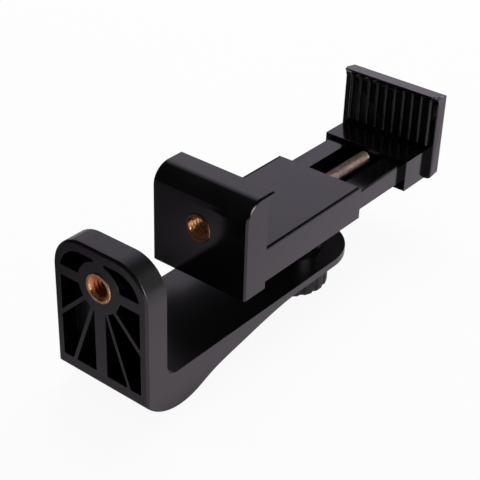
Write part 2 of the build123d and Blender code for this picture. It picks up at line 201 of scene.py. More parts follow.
@dataclass(frozen=True)
class MouldedRubber(Finish):
    """Thermoplastic rubber, moulded.

    The eye gets a soft charcoal black whose highlights are broad and dim.
    """

    dark: str = "070708"
    light: str = "0E0E10"
    roughness: float = 0.45
    roughness_spread: float = 0.08
    ior: float = 1.5
    # Coarser than the real grain, so that it shows in the render.
    grain_mm: float = 0.5
    grain_depth_mm: float = 0.006

    def shader(self, tree: bpy.types.NodeTree, place: bpy.types.NodeSocket) -> bpy.types.Node:
        """Add the rubber's nodes.

        Args:
            tree: Node tree of the material.
            place: Object coordinates in metres.

        Returns:
            The principled shader.
        """
        grain = add_node(tree, "ShaderNodeTexNoise", inputs={
            "Vector": place, "Scale": 1 / (self.grain_mm * MILLIMETRE), "Detail": 4.0, "Roughness": 0.6})
        share = add_node(tree, "ShaderNodeMapRange", inputs={
            "Value": grain.outputs["Fac"], "From Min": 0.35, "From Max": 0.7})
        colour = add_node(tree, "ShaderNodeMix", {"data_type": "RGBA"}, {
            0: share.outputs["Result"], 6: linear(self.dark), 7: linear(self.light)})
        bump = add_node(tree, "ShaderNodeBump", inputs={
            "Height": grain.outputs["Fac"], "Strength": 1.0, "Distance": self.grain_depth_mm * MILLIMETRE})
        gloss = add_node(tree, "ShaderNodeMapRange", inputs={
            "Value": grain.outputs["Fac"], "To Min": self.roughness - self.roughness_spread,
            "To Max": self.roughness + self.roughness_spread})
        return add_node(tree, "ShaderNodeBsdfPrincipled", inputs={
            "Base Color": colour.outputs[2], "Roughness": gloss.outputs["Result"], "IOR": self.ior,
            "Normal": bump.outputs["Normal"]})


@dataclass(frozen=True)
class TurnedMetal(Finish):
    """A metal turned or drawn about the X or Z axis.

    The eye gets fine rings round the axis that draw the highlights out, tarnish in patches and, where a
    deep colour is given, a change to it along X that paints in shade and highlights.
    """

    dark: str = "A67244"
    light: str = "E8C08E"
    # Tone painted in along X in place of light and shade: painted shade deep in a bore, a painted highlight
    # on a wire's end.
    deep: str | None = None
    roughness: float = 0.26
    duller: float = 0.1
    brighter: float = 0.06
    tarnish_mm: float = 1.6
    # Real tool marks are about 0.1 mm apart; they are this coarse so that they show in the render.
    ring_mm: float = 0.3
    ring_depth_mm: float = 0.01
    axis_mm: tuple[float, float, float] = (0.0, 0.0, 0.0)
    across: tuple[float, float, float] = (0.0, 1.0, 1.0)
    # Range in X over which the painted tone takes over.
    painted_tone_from_mm: tuple[float, float] = (0.0, 1.0)

    def shader(self, tree: bpy.types.NodeTree, place: bpy.types.NodeSocket) -> bpy.types.Node:
        """Add the metal's nodes.

        Args:
            tree: Node tree of the material.
            place: Object coordinates in metres.

        Returns:
            The principled shader.
        """
        centred = add_node(tree, "ShaderNodeMapping", inputs={
            "Vector": place, "Location": tuple(-value * MILLIMETRE for value in self.axis_mm)})
        flat = add_node(tree, "ShaderNodeVectorMath", {"operation": "MULTIPLY"}, {
            0: centred.outputs["Vector"], 1: self.across})
        rings = add_node(tree, "ShaderNodeTexNoise", inputs={
            "Vector": add_node(tree, "ShaderNodeCombineXYZ", inputs={
                "X": add_node(tree, "ShaderNodeVectorMath", {"operation": "LENGTH"}, {
                    0: flat.outputs["Vector"]}).outputs["Value"]}).outputs["Vector"],
            "Scale": 1 / (self.ring_mm * MILLIMETRE), "Detail": 2.0})
        tarnish = add_node(tree, "ShaderNodeTexNoise", inputs={
            "Vector": place, "Scale": 1 / (self.tarnish_mm * MILLIMETRE), "Detail": 4.0, "Roughness": 0.65})
        share = add_node(tree, "ShaderNodeMapRange", inputs={
            "Value": tarnish.outputs["Fac"], "From Min": 0.3, "From Max": 0.55})
        colour = add_node(tree, "ShaderNodeMix", {"data_type": "RGBA"}, {
            0: share.outputs["Result"], 6: linear(self.dark), 7: linear(self.light)})
        # Painted light and shade: the colour changes along X to the painted tone.
        if self.deep:
            depth = add_node(tree, "ShaderNodeMapRange", inputs={
                "Value": add_node(tree, "ShaderNodeSeparateXYZ", inputs={
                    0: centred.outputs["Vector"]}).outputs["X"],
                "From Min": self.painted_tone_from_mm[0] * MILLIMETRE, "From Max": self.painted_tone_from_mm[1] * MILLIMETRE})
            colour = add_node(tree, "ShaderNodeMix", {"data_type": "RGBA"}, {
                0: depth.outputs["Result"], 6: colour.outputs[2], 7: linear(self.deep)})
        bump = add_node(tree, "ShaderNodeBump", inputs={
            "Height": rings.outputs["Fac"], "Strength": 1.0, "Distance": self.ring_depth_mm * MILLIMETRE})
        gloss = add_node(tree, "ShaderNodeMapRange", inputs={
            "Value": tarnish.outputs["Fac"], "To Min": self.roughness + self.duller,
            "To Max": self.roughness - self.brighter})
        return add_node(tree, "ShaderNodeBsdfPrincipled", inputs={
            "Base Color": colour.outputs[2], "Metallic": 1.0, "Roughness": gloss.outputs["Result"],
            "Normal": bump.outputs["Normal"]})


# ABS moulded in a polished tool: deep black with a mirror gloss that waves a little.
ABS = MouldedPlastic("abs_polished_black")
# The same ABS from a duller tool: satin black whose reflections are softer and flatter.
ABS_BRACKET = MouldedPlastic("abs_satin_black", roughness=0.3, wave_depth_mm=0.003, ior=1.54)
# ABS moulded in a spark-eroded tool: charcoal black with a grain that the fingers grip.
ABS_KNOB = MouldedPlastic("abs_matt_black", dark="0A0A0B", light="101012", roughness=0.36, grain_mm=0.6,
                          grain_depth_mm=0.004)
# Rubber moulded in one go with its ribs: dim black with soft lines of light along the ribs.
PAD_RUBBER = MouldedRubber("rubber_moulded_black")
# Rubber cut from sheet: flat black with hardly a highlight.
WASHER_RUBBER = MouldedRubber("rubber_sheet_black", roughness=0.6)
# Brass turned bright: a pale gold rim round a thread painted a darker copper red, as painted shade deep in
# the bore.
FOOT_BRASS = TurnedMetal("brass_turned_foot", deep="C8784A", roughness=0.38)
# Brass with painted shade on its rim: a dull brown ring, darkened for the dark that it mirrors, round a
# bright golden mouth.
JAW_BRASS = TurnedMetal("brass_turned_jaw", dark="5A4030", light="80604A", deep="E8B078", roughness=0.27,
                        painted_tone_from_mm=(-0.28, 0.0), axis_mm=JAW_THREAD_MM)
# Brass turned bright, seen only from below: plain gold.
SWIVEL_BRASS = TurnedMetal("brass_turned_swivel", axis_mm=(KNOB_AXIS_X_MM, 0.0, 0.0), across=(1.0, 1.0, 0.0))
# Steel wire drawn with a thin coat of copper: pale greyish pink, with a painted highlight that turns the last
# coils by the jaw nearly white.
SPRING_WIRE = TurnedMetal("steel_wire_coppered", dark="B89E94", light="DCC4BC", deep="FFFFFF", roughness=0.6,
                          ring_mm=0.25, ring_depth_mm=0.004, painted_tone_from_mm=(116.4, 117.4),
                          axis_mm=(0.0, 0.0, SPRING_AXIS_Z_MM))
# Steel with a zinc coat: cool light grey with a soft shine.
ZINC_STEEL = TurnedMetal("steel_zinc_plated", dark="8A8C90", light="C2C4C8", roughness=0.3,
                         axis_mm=(KNOB_AXIS_X_MM, 0.0, 0.0), across=(1.0, 1.0, 0.0))
# Steel blackened in a hot bath: nearly black, with a dim oily shine.
DARK_STEEL = TurnedMetal("steel_black_oxide", dark="1C1C1E", light="2E2E31", roughness=0.4)


def dress(piece: bpy.types.Object, finish: Finish) -> None:
    """Give a piece one finish.

    Args:
        piece: Mesh object to dress.
        finish: Finish to use all over.
    """
    piece.data.materials.clear()
    piece.data.materials.append(finish.material())
    for polygon in piece.data.polygons:
        polygon.material_index = 0


def new_piece(name: str, shape: bmesh.types.BMesh) -> bpy.types.Object:
    """Make a mesh object at the origin from a bmesh and free the bmesh.

    Args:
        name: Name of the piece.
        shape: Finished geometry in metres.

    Returns:
        The new object, linked to the scene.
    """
    mesh = bpy.data.meshes.new(name)
    shape.to_mesh(mesh)
    shape.free()
    piece = bpy.data.objects.new(name, mesh)
    bpy.context.scene.collection.objects.link(piece)
    return piece


def bake_modifiers(piece: bpy.types.Object) -> None:
    """Replace a piece's mesh by its evaluated one and drop its modifiers.

    Args:
        piece: Mesh object with modifiers.
    """
    graph = bpy.context.evaluated_depsgraph_get()
    mesh = bpy.data.meshes.new_from_object(piece.evaluated_get(graph))
    piece.modifiers.clear()
    old = piece.data
    piece.data = mesh
    bpy.data.meshes.remove(old)


def smooth_by_angle(mesh: bpy.types.Mesh, degrees: float) -> None:
    """Shade a mesh smooth, with its sharper edges kept hard.

    Args:
        mesh: Mesh to shade.
        degrees: Angle between two faces from which their edge stays hard.
    """
    shape = bmesh.new()
    shape.from_mesh(mesh)
    limit = math.radians(degrees)
    for face in shape.faces:
        face.smooth = True
    for edge in shape.edges:
        edge.smooth = len(edge.link_faces) == 2 and edge.calc_face_angle(0.0) < limit
    shape.to_mesh(mesh)
    shape.free()


def flatten_normals(piece: bpy.types.Object) -> None:
    """Let large faces set the shading of their corners, so that flats look flat up to their edges.

    Args:
        piece: Mesh object whose hard edges are marked.
    """
    level = piece.modifiers.new("flat faces", "WEIGHTED_NORMAL")
    level.mode = "FACE_AREA"
    level.keep_sharp = True
    bake_modifiers(piece)


@dataclass(frozen=True)
class RoundedEnd:
    """An end that faces -X and whose rounded edges are drawn out to crisp corners, in millimetres."""

    radius: float
    flat_from_x: float
    flat_half_y: float
    flat_z: tuple[float, float]

    def reshape(self, shape: bmesh.types.BMesh) -> None:
        """Push every point of the rounding out onto the corner that it rounds.

        Args:
            shape: Geometry of the whole node, in metres.
        """
        for vert in shape.verts:
            place = vert.co / MILLIMETRE
            beyond = Vector((min(place.x - self.flat_from_x, 0.0),
                             math.copysign(max(abs(place.y) - self.flat_half_y, 0.0), place.y),
                             max(place.z - self.flat_z[1], 0.0) + min(place.z - self.flat_z[0], 0.0)))
            reach = math.hypot(beyond.x, max(abs(beyond.y), abs(beyond.z)))
            if beyond.x < 0.0 and abs(reach - self.radius) < MATCH_MM:
                share = self.radius / max(abs(value) for value in beyond) - 1.0
                vert.co += beyond * share * MILLIMETRE


@dataclass(frozen=True)
class SeamSlope:
    """The wide slope that one upper edge of a plate gets in place of its small chamfer, in millimetres."""

    chamfer: float
    edge_y: float
    top_z: float
    width: float
    depth: float

    def reshape(self, shape: bmesh.types.BMesh) -> None:
        """Move both lines of the chamfer to where the slope starts and ends.

        Args:
            shape: Geometry of the whole node, in metres.
        """
        for vert in shape.verts:
            place = vert.co / MILLIMETRE
            if place.y - self.edge_y + self.top_z - place.z < self.chamfer + MATCH_MM:
                on_top = place.z > self.top_z - MATCH_MM
                place.y = self.edge_y + (self.width if on_top else 0.0)
                place.z = self.top_z - (0.0 if on_top else self.depth)
                vert.co = place * MILLIMETRE


@dataclass
class Moulding:
    """A rigid CAD shape that is repeated with softened edges."""

    node: str
    body: Body
    finish: Finish
    slot: Slot
    edge_radius_mm: float = 0.25
    edge_steps: int = 3
    edge_degrees: float = 38.0
    smooth_degrees: float = 32.0
    flat_degrees: float = 0.6
    merge_mm: float = 0.002
    changes: tuple[RoundedEnd | SeamSlope, ...] = ()

    def build(self) -> bpy.types.Object:
        """Copy the node, merge its triangles, round its edges and let it stand for the node.

        Returns:
            The finished piece.
        """
        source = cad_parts[self.node].data
        shape = bmesh.new()
        shape.from_mesh(source)
        for change in self.changes:
            change.reshape(shape)
        bmesh.ops.remove_doubles(shape, verts=shape.verts, dist=self.merge_mm * MILLIMETRE)
        bmesh.ops.dissolve_limit(shape, angle_limit=math.radians(self.flat_degrees), verts=shape.verts,
                                 edges=shape.edges, use_dissolve_boundaries=False)
        piece = new_piece(f"{self.node}_finished", shape)
        bevel = piece.modifiers.new("soft edges", "BEVEL")
        bevel.width = self.edge_radius_mm * MILLIMETRE
        bevel.segments = self.edge_steps
        bevel.limit_method = "ANGLE"
        bevel.angle_limit = math.radians(self.edge_degrees)
        bevel.use_clamp_overlap = True
        bevel.miter_outer = "MITER_ARC"
        bake_modifiers(piece)
        smooth_by_angle(piece.data, self.smooth_degrees)
        flatten_normals(piece)
        dress(piece, self.finish)
        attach(piece, self.body.value)
        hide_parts(self.node)
        LOG.info("%s: %d faces", piece.name, len(piece.data.polygons))
        return piece


def grid_surface(shape: bmesh.types.BMesh, rows: list[list[Vector]], closed_rows: bool) -> None:
    """Join rings of points into one skin.

    Args:
        shape: Geometry that gets the skin.
        rows: Rings of equally many points, in order along the shape.
        closed_rows: True where the last ring joins the first, False where both ends are capped.
    """
    rings = [[shape.verts.new(point) for point in row] for row in rows]
    pairs = list(zip(rings, rings[1:]))
    if closed_rows:
        pairs.append((rings[-1], rings[0]))
    for first, second in pairs:
        for index in range(len(first)):
            after = (index + 1) % len(first)
            shape.faces.new((first[index], first[after], second[after], second[index]))
    if not closed_rows:
        shape.faces.new(rings[0])
        shape.faces.new(rings[-1])
    bmesh.ops.recalc_face_normals(shape, faces=shape.faces)


@dataclass(frozen=True)
class TripodThread:
    """The quarter-inch tripod thread, in millimetres."""

    pitch: float = 1.27
    major: float = 3.17
    minor: float = 2.55
    flat_share: float = 0.12
    steps_per_turn: int = 48
    rows_per_pitch: int = 10

    def depth_share(self, along: float, turn: float) -> float:
        """Work out how deep the thread is cut at a place on the helix.

        Args:
            along: Height in millimetres.
            turn: Share of a turn round the axis.

        Returns:
            0 where the thread stands and 1 where it is cut to its full depth.
        """
        phase = (along / self.pitch - turn) % 1.0
        ridge = abs(2 * phase - 1)
        return min(1.0, max(0.0, (ridge - self.flat_share) / (1 - 2 * self.flat_share)))

    def ring(self, along: float, radius: Callable[[float, float], float]) -> list[Vector]:
        """Return one ring of points round the local Z axis whose radius follows a rule.

        Args:
            along: Height in millimetres.
            radius: Rule from height and share of a turn to a radius in millimetres.

        Returns:
            Points in millimetres.
        """
        points = []
        for step in range(self.steps_per_turn):
            turn = step / self.steps_per_turn
            reach = radius(along, turn)
            angle = math.tau * turn
            points.append(Vector((reach * math.cos(angle), reach * math.sin(angle), along)))
        return points

    def rings(self, start: float, end: float, radius: Callable[[float, float], float]) -> list[list[Vector]]:
        """Return rings of points that are close enough together to show the thread.

        Args:
            start: First height in millimetres.
            end: Last height in millimetres.
            radius: Rule from height and share of a turn to a radius in millimetres.

        Returns:
            Rings of points in millimetres.
        """
        count = max(2, round(abs(end - start) / self.pitch * self.rows_per_pitch))
        return [self.ring(start + (end - start) * row / count, radius) for row in range(count + 1)]


THREAD = TripodThread()


@dataclass
class ThreadedBush:
    """Brass bush with a bevelled mouth and a cut tripod thread."""

    node: str
    body: Body
    finish: Finish
    mouth_mm: tuple[float, float, float]
    inward: tuple[float, float, float]
    length: float
    outer: float = 4.2
    proud: float = 0.3
    rim_bevel: float = 0.15
    countersink: float = 0.75
    mouth_over: float = 0.25
    smooth_degrees: float = 35.0

    def wall(self, along: float, turn: float) -> float:
        """Work out the bore's radius, which is the thread's or the mouth's.

        Args:
            along: Depth below the surface that the bush sits in, in millimetres.
            turn: Share of a turn round the axis.

        Returns:
            Radius in millimetres.
        """
        cut = THREAD.minor + (THREAD.major - THREAD.minor) * THREAD.depth_share(along, turn)
        widest = THREAD.major + self.mouth_over
        mouth = widest - (along + self.proud) * (widest - THREAD.minor) / self.countersink
        return max(cut, mouth)

    def build(self) -> bpy.types.Object:
        """Build the bush and let it stand for its node.

        Returns:
            The finished piece.
        """
        def plain(radius: float, along: float) -> list[Vector]:
            """Return one round ring of points."""
            return THREAD.ring(along, lambda _along, _turn: radius)

        rows = [plain(self.outer, self.length), plain(self.outer, self.rim_bevel - self.proud),
                plain(self.outer - self.rim_bevel, -self.proud)]
        rows += THREAD.rings(-self.proud, self.length, self.wall)
        shape = bmesh.new()
        grid_surface(shape, rows, closed_rows=True)
        turn = Vector((0, 0, 1)).rotation_difference(Vector(self.inward)).to_matrix().to_4x4()
        place = Matrix.Translation([value * MILLIMETRE for value in self.mouth_mm])
        bmesh.ops.transform(shape, matrix=place @ turn @ Matrix.Scale(MILLIMETRE, 4), verts=shape.verts)
        piece = new_piece(f"{self.node}_threaded", shape)
        smooth_by_angle(piece.data, self.smooth_degrees)
        dress(piece, self.finish)
        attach(piece, self.body.value)
        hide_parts(self.node)
        LOG.info("%s: %d faces", piece.name, len(piece.data.polygons))
        return piece


@dataclass
class KnobScrew:
    """Tripod screw of the knob, with a cut thread and a six-sided head."""

    axis_x: float = KNOB_AXIS_X_MM
    head_bottom: float = -36.35
    head_height: float = 4.0
    head_corner: float = 5.6
    head_bevel: float = 0.35
    top: float = -17.35
    point_inset: float = 0.3
    smooth_degrees: float = 35.0

    def shank(self, along: float, turn: float) -> float:
        """Return the shank's radius at a height and share of a turn."""
        cut = THREAD.minor + (THREAD.major - THREAD.minor) * (1 - THREAD.depth_share(along, turn))
        return min(cut, THREAD.minor + max(0.0, self.top - along) - self.point_inset)

    def build(self) -> bpy.types.Object:
        """Build the screw and let it stand for its node.

        Returns:
            The finished piece.
        """
        shape = bmesh.new()
        start = self.head_bottom + self.head_height
        grid_surface(shape, THREAD.rings(start, self.top, self.shank), closed_rows=False)
        head = bmesh.new()
        corners = [Vector((math.cos(HEX_ANGLE * side), math.sin(HEX_ANGLE * side), 0))
                   for side in range(HEX_SIDES)]
        rows = []
        for reach, height in ((self.head_corner - self.head_bevel, self.head_bottom),
                              (self.head_corner, self.head_bottom + self.head_bevel),
                              (self.head_corner, start)):
            rows.append([corner * reach + Vector((0, 0, height)) for corner in corners])
        grid_surface(head, rows, closed_rows=False)
        joined = bpy.data.meshes.new("head")
        head.to_mesh(joined)
        head.free()
        shape.from_mesh(joined)
        bpy.data.meshes.remove(joined)
        place = Matrix.Translation((self.axis_x * MILLIMETRE, 0, 0)) @ Matrix.Scale(MILLIMETRE, 4)
        bmesh.ops.transform(shape, matrix=place, verts=shape.verts)
        piece = new_piece("knob_screw_threaded", shape)
        smooth_by_angle(piece.data, self.smooth_degrees)
        dress(piece, ZINC_STEEL)
        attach(piece, Body.KNOB.value)
        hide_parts("knob_screw")
        LOG.info("%s: %d faces", piece.name, len(piece.data.polygons))
        return piece


class NodeInput(Enum):
    """Kinds of named inputs of a geometry tree."""

    LENGTH = "NodeSocketFloat"
    COUNT = "NodeSocketInt"
    MATERIAL = "NodeSocketMaterial"


@dataclass
class Recipe:
    """A geometry tree with named inputs that ends in real, dressed geometry."""

    name: str
    inputs: dict[str, NodeInput]

    def __post_init__(self) -> None:
        """Start the tree with its group input."""
        self.tree = bpy.data.node_groups.new(self.name, "GeometryNodeTree")
        self.tree.interface.new_socket("Geometry", in_out="INPUT", socket_type="NodeSocketGeometry")
        for title, kind in self.inputs.items():
            self.tree.interface.new_socket(title, in_out="INPUT", socket_type=kind.value)
        self.tree.interface.new_socket("Material", in_out="INPUT", socket_type=NodeInput.MATERIAL.value)
        self.tree.interface.new_socket("Geometry", in_out="OUTPUT", socket_type="NodeSocketGeometry")
        self.given = add_node(self.tree, "NodeGroupInput").outputs

    def math(self, operation: str, first: object, second: object = 0.0) -> bpy.types.NodeSocket:
        """Add one step of arithmetic and return its result."""
        return add_node(self.tree, "ShaderNodeMath", {"operation": operation}, {
            0: first, 1: second}).outputs["Value"]

    def end(self, geometry: bpy.types.NodeSocket) -> None:
        """Close the tree with real, smooth and dressed geometry.

        Args:
            geometry: Output that holds what the tree has made.
        """
        real = add_node(self.tree, "GeometryNodeRealizeInstances", inputs={"Geometry": geometry})
        smooth = add_node(self.tree, "GeometryNodeSetShadeSmooth", inputs={
            "Geometry": real.outputs["Geometry"]})
        dressed = add_node(self.tree, "GeometryNodeSetMaterial", inputs={
            "Geometry": smooth.outputs["Geometry"], "Material": self.given["Material"]})
        add_node(self.tree, "NodeGroupOutput", inputs={"Geometry": dressed.outputs["Geometry"]})

    def run(self, piece: bpy.types.Object, values: dict[str, object], finish: Finish) -> None:
        """Run the tree on a piece and keep its result as a plain mesh.

        Args:
            piece: Object whose geometry the tree starts from.
            values: Value of each named input.
            finish: Finish of what the tree makes.
        """
        modifier = piece.modifiers.new(self.name, "NODES")
        modifier.node_group = self.tree
        given = dict(values)
        given["Material"] = finish.material()
        for item in self.tree.interface.items_tree:
            if item.in_out == "INPUT" and item.name in given:
                modifier[item.identifier] = given[item.name]
        bake_modifiers(piece)


@dataclass
class FlutedKnob:
    """Thumb knob turned about an upright axis, with flutes cut round its rim."""

    axis_x: float = KNOB_AXIS_X_MM
    bottom: float = -36.95
    top: float = -26.75
    radius: float = 11.4
    edge: float = 1.3
    edge_bulge: float = 0.14
    face_inset: float = 2.2
    flutes: int = 16
    flute_radius: float = 1.5
    flute_depth: float = 0.5
    # Shares of the radius between which the flutes reach their full depth.
    flute_fade: tuple[float, float] = (0.85, 0.92)
    head_corner: float = 5.65
    head_top: float = -32.35
    head_flare: float = 0.25
    bore: float = 3.2
    steps: int = 192
    smooth_degrees: float = 40.0

    def outline(self) -> list[list[Vector]]:
        """List closed rings of points that run up the rim, down the bore and out of the head's pocket.

        Returns:
            Rings of points in millimetres, round the local Z axis.
        """
        low, high, rim = self.bottom, self.top, self.radius
        half, bulge = self.edge / 2, self.edge_bulge
        rings = []
        for reach, height in ((rim - self.face_inset, low), (rim - self.edge, low), (rim - half, low + bulge),
                              (rim - bulge, low + half), (rim, low + self.edge), (rim, (low + high) / 2),
                              (rim, high - self.edge), (rim - bulge, high - half),
                              (rim - half, high - bulge), (rim - self.edge, high),
                              (rim - self.face_inset, high), (self.bore, high), (self.bore, self.head_top)):
            rings.append([Vector((reach * math.cos(math.tau * step / self.steps),
                                  reach * math.sin(math.tau * step / self.steps), height))
                          for step in range(self.steps)])
        for height in (self.head_top, low + self.head_flare, low):
            flare = self.head_flare if height == low else 0.0
            ring = []
            for step in range(self.steps):
                turn = math.tau * step / self.steps
                side = turn % HEX_ANGLE - HEX_ANGLE / 2
                reach = (self.head_corner + flare) * math.cos(HEX_ANGLE / 2) / math.cos(side)
                ring.append(Vector((reach * math.cos(turn), reach * math.sin(turn), height)))
            rings.append(ring)
        return rings

    def recipe(self) -> Recipe:
        """Build the tree that presses round flutes into a rim.

        Returns:
            The finished tree.
        """
        made = Recipe("flutes round rim", {
            "Count": NodeInput.COUNT, "Axis X": NodeInput.LENGTH, "Radius": NodeInput.LENGTH,
            "Flute Radius": NodeInput.LENGTH, "Flute Depth": NodeInput.LENGTH})
        tree, given = made.tree, made.given
        place = add_node(tree, "ShaderNodeSeparateXYZ", inputs={
            0: add_node(tree, "GeometryNodeInputPosition").outputs["Position"]}).outputs
        along = made.math("SUBTRACT", place["X"], given["Axis X"])
        turns = made.math("DIVIDE", made.math("ARCTAN2", place["Y"], along), math.tau)
        phase = made.math("SUBTRACT", made.math("FRACT", made.math("MULTIPLY", turns, given["Count"])), 0.5)
        pitch = made.math("DIVIDE", made.math("MULTIPLY", given["Radius"], math.tau), given["Count"])
        aside = made.math("POWER", made.math("MULTIPLY", phase, pitch), 2.0)
        left = made.math("SUBTRACT", made.math("POWER", given["Flute Radius"], 2.0), aside)
        chord = made.math("SQRT", made.math("MAXIMUM", left, 0.0))
        middle = made.math("SUBTRACT", given["Flute Radius"], given["Flute Depth"])
        cut = made.math("MAXIMUM", made.math("SUBTRACT", chord, middle), 0.0)
        reach = made.math("SQRT", made.math("ADD", made.math("POWER", along, 2.0),
                                            made.math("POWER", place["Y"], 2.0)))
        near = add_node(tree, "ShaderNodeMapRange", inputs={
            "Value": made.math("DIVIDE", reach, given["Radius"]),
            "From Min": self.flute_fade[0], "From Max": self.flute_fade[1]})
        scale = made.math("SUBTRACT", 1.0, made.math("DIVIDE", made.math(
            "MULTIPLY", cut, near.outputs["Result"]), reach))
        rim = add_node(tree, "GeometryNodeSetPosition", inputs={
            "Geometry": given["Geometry"],
            "Position": add_node(tree, "ShaderNodeCombineXYZ", inputs={
                "X": made.math("ADD", given["Axis X"], made.math("MULTIPLY", along, scale)),
                "Y": made.math("MULTIPLY", place["Y"], scale), "Z": place["Z"]}).outputs["Vector"]})
        made.end(rim.outputs["Geometry"])
        return made

    def build(self) -> bpy.types.Object:
        """Build the knob and let it stand for its node.

        Returns:
            The finished piece.
        """
        shape = bmesh.new()
        grid_surface(shape, self.outline(), closed_rows=True)
        place = Matrix.Translation((self.axis_x * MILLIMETRE, 0, 0)) @ Matrix.Scale(MILLIMETRE, 4)
        bmesh.ops.transform(shape, matrix=place, verts=shape.verts)
        piece = new_piece("knob_fluted", shape)
        self.recipe().run(piece, {
            "Count": self.flutes, "Axis X": self.axis_x * MILLIMETRE, "Radius": self.radius * MILLIMETRE,
            "Flute Radius": self.flute_radius * MILLIMETRE, "Flute Depth": self.flute_depth * MILLIMETRE,
        }, ABS_KNOB)
        smooth_by_angle(piece.data, self.smooth_degrees)
        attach(piece, Body.KNOB.value)
        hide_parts("knob")
        LOG.info("%s: %d faces", piece.name, len(piece.data.polygons))
        return piece


@dataclass
class TensionSpring:
    """Drawn-out extension spring whose ends hook round two pins."""

    body_pin_x: float = 51.9
    jaw_pin_x: float = 120.3
    axis_z: float = SPRING_AXIS_Z_MM
    outer_radius: float = 2.05
    wire_radius: float = 0.28
    pin_radius: float = 0.8
    pin_air: float = 0.06
    turns: int = 86
    points_per_turn: int = 20
    hook_reach: float = 1.0
    hook_turn: float = 0.6
    hook_steps: int = 10
    # Points of the coil that are left out at each end, where the wire runs over into its hook.
    run_in: int = 4
    wire_sides: int = 8

    def centreline(self) -> list[Vector]:
        """Wind the wire's centreline from hook to hook.

        Returns:
            Points in millimetres.
        """
        coil = self.outer_radius - self.wire_radius
        loop = self.pin_radius + self.wire_radius + self.pin_air
        start = self.body_pin_x + self.hook_reach
        length = self.jaw_pin_x - self.body_pin_x - 2 * self.hook_reach
        points = []
        steps = self.turns * self.points_per_turn
        for step in range(steps + 1):
            turn = math.tau * step / self.points_per_turn
            along = start + length * step / steps
            points.append(Vector((along, coil * math.sin(turn), coil * math.cos(turn))))
        first, last = [], []
        for step in range(self.hook_steps + 1):
            angle = math.tau * self.hook_turn * step / self.hook_steps
            reach, rise = loop * math.sin(angle), loop * math.cos(angle)
            first.append(Vector((self.body_pin_x - reach, 0, rise)))
            last.append(Vector((self.jaw_pin_x + reach, 0, rise)))
        line = list(reversed(first)) + points[self.run_in:-self.run_in] + last
        return [point + Vector((0, 0, self.axis_z)) for point in line]

    def recipe(self) -> Recipe:
        """Build the tree that draws a wire along a line of points.

        Returns:
            The finished tree.
        """
        made = Recipe("wire along line", {"Wire Radius": NodeInput.LENGTH, "Sides": NodeInput.COUNT})
        tree, given = made.tree, made.given
        curve = add_node(tree, "GeometryNodeMeshToCurve", inputs={"Mesh": given["Geometry"]})
        ring = add_node(tree, "GeometryNodeCurvePrimitiveCircle", inputs={
            "Resolution": given["Sides"], "Radius": given["Wire Radius"]})
        wire = add_node(tree, "GeometryNodeCurveToMesh", inputs={
            "Curve": curve.outputs["Curve"], "Profile Curve": ring.outputs["Curve"], "Fill Caps": True})
        made.end(wire.outputs["Mesh"])
        return made

    def build(self) -> bpy.types.Object:
        """Build the spring, which stretches between the clamp and the jaw.

        Returns:
            The finished piece.
        """
        shape = bmesh.new()
        points = [shape.verts.new(point * MILLIMETRE) for point in self.centreline()]
        for first, second in zip(points, points[1:]):
            shape.edges.new((first, second))
        piece = new_piece("tension_spring_wound", shape)
        self.recipe().run(piece, {
            "Wire Radius": self.wire_radius * MILLIMETRE, "Sides": self.wire_sides}, SPRING_WIRE)
        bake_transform(piece)
        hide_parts("tension_spring")
        LOG.info("%s: %d faces", piece.name, len(piece.data.polygons))
        return piece


